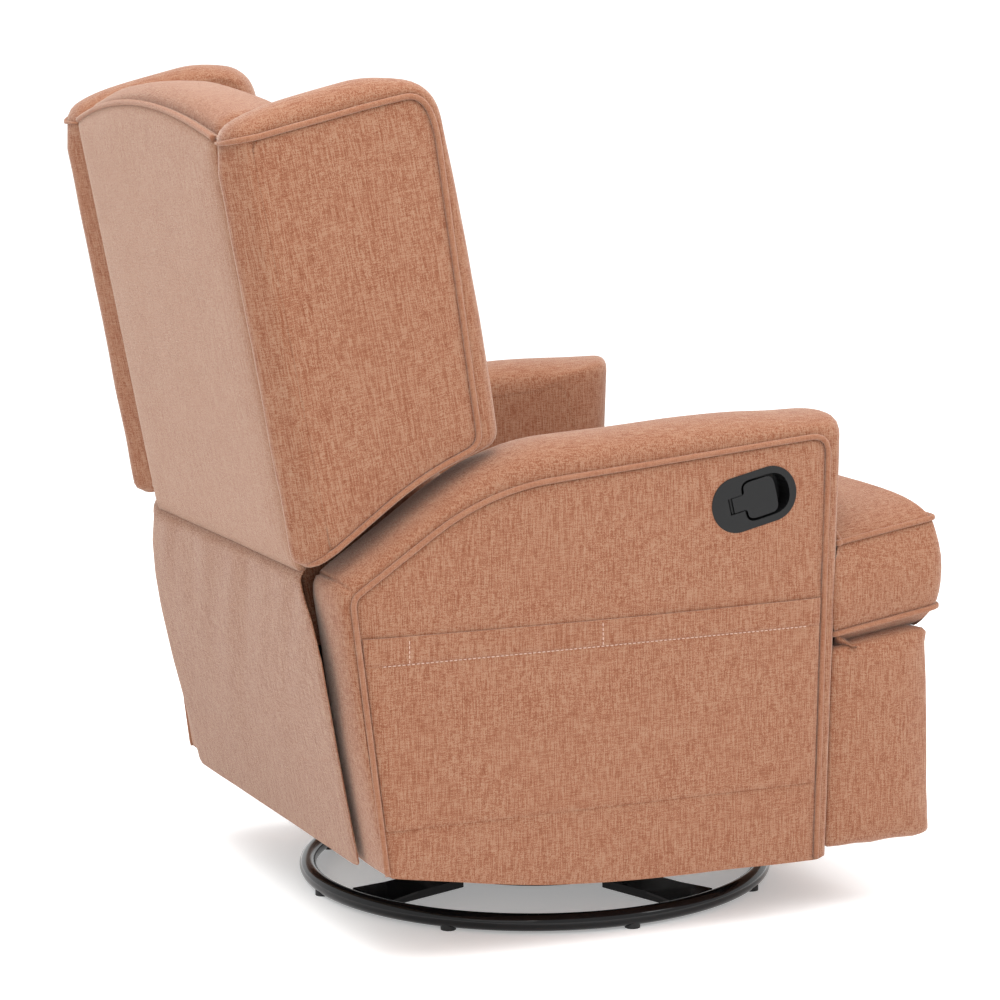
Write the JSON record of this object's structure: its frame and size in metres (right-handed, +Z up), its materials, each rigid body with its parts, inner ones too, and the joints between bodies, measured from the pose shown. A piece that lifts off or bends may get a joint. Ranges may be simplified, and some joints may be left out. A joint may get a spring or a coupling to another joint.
{
  "type": "swivel glider recliner chair",
  "caption": "Upholstered swivel glider recliner with wing back, padded arms with side pockets, T seat cushion, fold-out leg rest, recessed pull handle and a round ring base.",
  "frame": {"origin": "bottom centre of the whole chair's bounding box, on the floor", "axes": "+Z up, -Y is the way the sitter faces, +X is the sitter's left; the release handle is on the -X arm"},
  "size_m": [0.7632, 0.946, 1.0829],
  "materials": {
    "gloss_black_steel": "gloss black enamel on the base ring and cross",
    "black_steel": "satin black paint on the hidden mechanism",
    "bare_steel": "zinc plated steel",
    "plywood": "raw plywood, hidden",
    "timber": "raw softwood, hidden",
    "cover_fabric": "terracotta chenille with a fine vertical rib and self-fabric welts",
    "deck_felt": "black felt and webbing, hidden",
    "black_plastic": "fine-grained satin black plastic",
    "glide_plastic": "hard black nylon",
    "cable_plastic": "black sheathed cable"
  },
  "bodies": {
    "base": {"base_ring": "gloss_black_steel", "base_cross": "gloss_black_steel", "floor_glides": "glide_plastic", "swivel_kingpin": "bare_steel", "lower_race": "bare_steel", "race_rivets": "bare_steel"},
    "turntable": {"swivel_balls": "bare_steel", "upper_race": "bare_steel", "swivel_plate": "black_steel", "glide_bracket_left": "black_steel", "glide_bracket_right": "black_steel", "upper_glide_pins": "bare_steel"},
    "front_links": {"front_glide_links": "black_steel"},
    "rear_links": {"rear_glide_links": "black_steel"},
    "chair": {"lower_glide_pins": "bare_steel", "glide_rail_left": "black_steel", "glide_rail_right": "black_steel", "cross_beams": "black_steel", "mechanism_plate_left": "black_steel", "mechanism_plate_right": "black_steel", "arm_bolts": "bare_steel", "arm_inner_panel_left": "plywood", "arm_inner_panel_right": "plywood", "arm_outer_panel_left": "plywood", "arm_outer_panel_right": "plywood", "arm_posts_left": "timber", "arm_posts_right": "timber", "arm_pad_left": "cover_fabric", "arm_pad_right": "cover_fabric", "side_pocket_left": "cover_fabric", "side_pocket_right": "cover_fabric", "seat_front_rail": "timber", "seat_rear_rail": "timber", "rear_rail": "timber", "spring_clips": "bare_steel", "seat_springs": "bare_steel", "seat_deck": "deck_felt", "seat_cushion": "cover_fabric", "handle_bezel": "black_plastic", "lever_pin": "bare_steel", "release_cable": "cable_plastic", "mechanism_rivets": "bare_steel", "lower_back_flap": "cover_fabric"},
    "backrest": {"back_brackets": "black_steel", "back_posts": "timber", "back_rails": "timber", "back_webbing": "deck_felt", "outer_back": "cover_fabric", "back_cushion": "cover_fabric", "wing_left": "cover_fabric", "wing_right": "cover_fabric"},
    "thigh": {"thigh_links": "black_steel", "thigh_tube": "black_steel"},
    "shin": {"shin_links": "black_steel", "link_rivets": "bare_steel"},
    "leg_rest": {"leg_rest_brackets": "black_steel", "leg_rest_board": "plywood", "leg_rest_pad": "cover_fabric"},
    "lever": {"pull_lever": "black_plastic"},
    "pawl": {"latch_pawl": "bare_steel"}
  },
  "joints": [
    {"name": "swivel", "type": "hinge", "parent": "base", "child": "turntable", "pos_m": [0, -0.06503, 0.04], "axis": [0, 0, 1], "continuous": true},
    {"name": "glide", "type": "hinge", "parent": "turntable", "child": "front_links", "pos_m": [0, -0.19503, 0.185], "axis": [1, 0, 0], "range_deg": [-18, 18]},
    {"name": "rear_link_swing", "type": "hinge", "parent": "turntable", "child": "rear_links", "pos_m": [0, 0.06496, 0.185], "axis": [1, 0, 0], "range_deg": [-18, 18]},
    {"name": "carriage_level", "type": "hinge", "parent": "front_links", "child": "chair", "pos_m": [0, -0.19503, 0.079], "axis": [1, 0, 0], "range_deg": [-18, 18]},
    {"name": "recline", "type": "hinge", "parent": "chair", "child": "backrest", "pos_m": [0, 0.22496, 0.3], "axis": [-1, 0, 0], "range_deg": [0, 30], "deforming": ["lower_back_flap"]},
    {"name": "leg_rest", "type": "hinge", "parent": "chair", "child": "thigh", "pos_m": [0, -0.27004, 0.296], "axis": [-1, 0, 0], "range_deg": [0, 78]},
    {"name": "leg_rest_shin", "type": "hinge", "parent": "thigh", "child": "shin", "pos_m": [0, -0.27004, 0.146], "axis": [-1, 0, 0], "range_deg": [-147.4, 0]},
    {"name": "leg_rest_board", "type": "hinge", "parent": "shin", "child": "leg_rest", "pos_m": [0, -0.29703, 0.29], "axis": [-1, 0, 0], "range_deg": [0, 155.4]},
    {"name": "pull_lever", "type": "hinge", "parent": "chair", "child": "lever", "pos_m": [-0.37, -0.1701, 0.54532], "axis": [0, -0.225, -0.9744], "range_deg": [0, 28], "stiffness_Nm_per_rad": 0.4, "springref_deg": -11.46},
    {"name": "latch", "type": "hinge", "parent": "chair", "child": "pawl", "pos_m": [-0.252, -0.20303, 0.236], "axis": [1, 0, 0], "range_deg": [0, 14]}
  ],
  "couplings": [
    {"joint": "rear_link_swing", "follows": "glide", "ratio": 1},
    {"joint": "carriage_level", "follows": "glide", "ratio": -1},
    {"joint": "leg_rest_shin", "follows": "leg_rest", "ratio": -1.8897},
    {"joint": "leg_rest_board", "follows": "leg_rest", "ratio": 1.992},
    {"joint": "latch", "follows": "pull_lever", "ratio": 0.5}
  ]
}
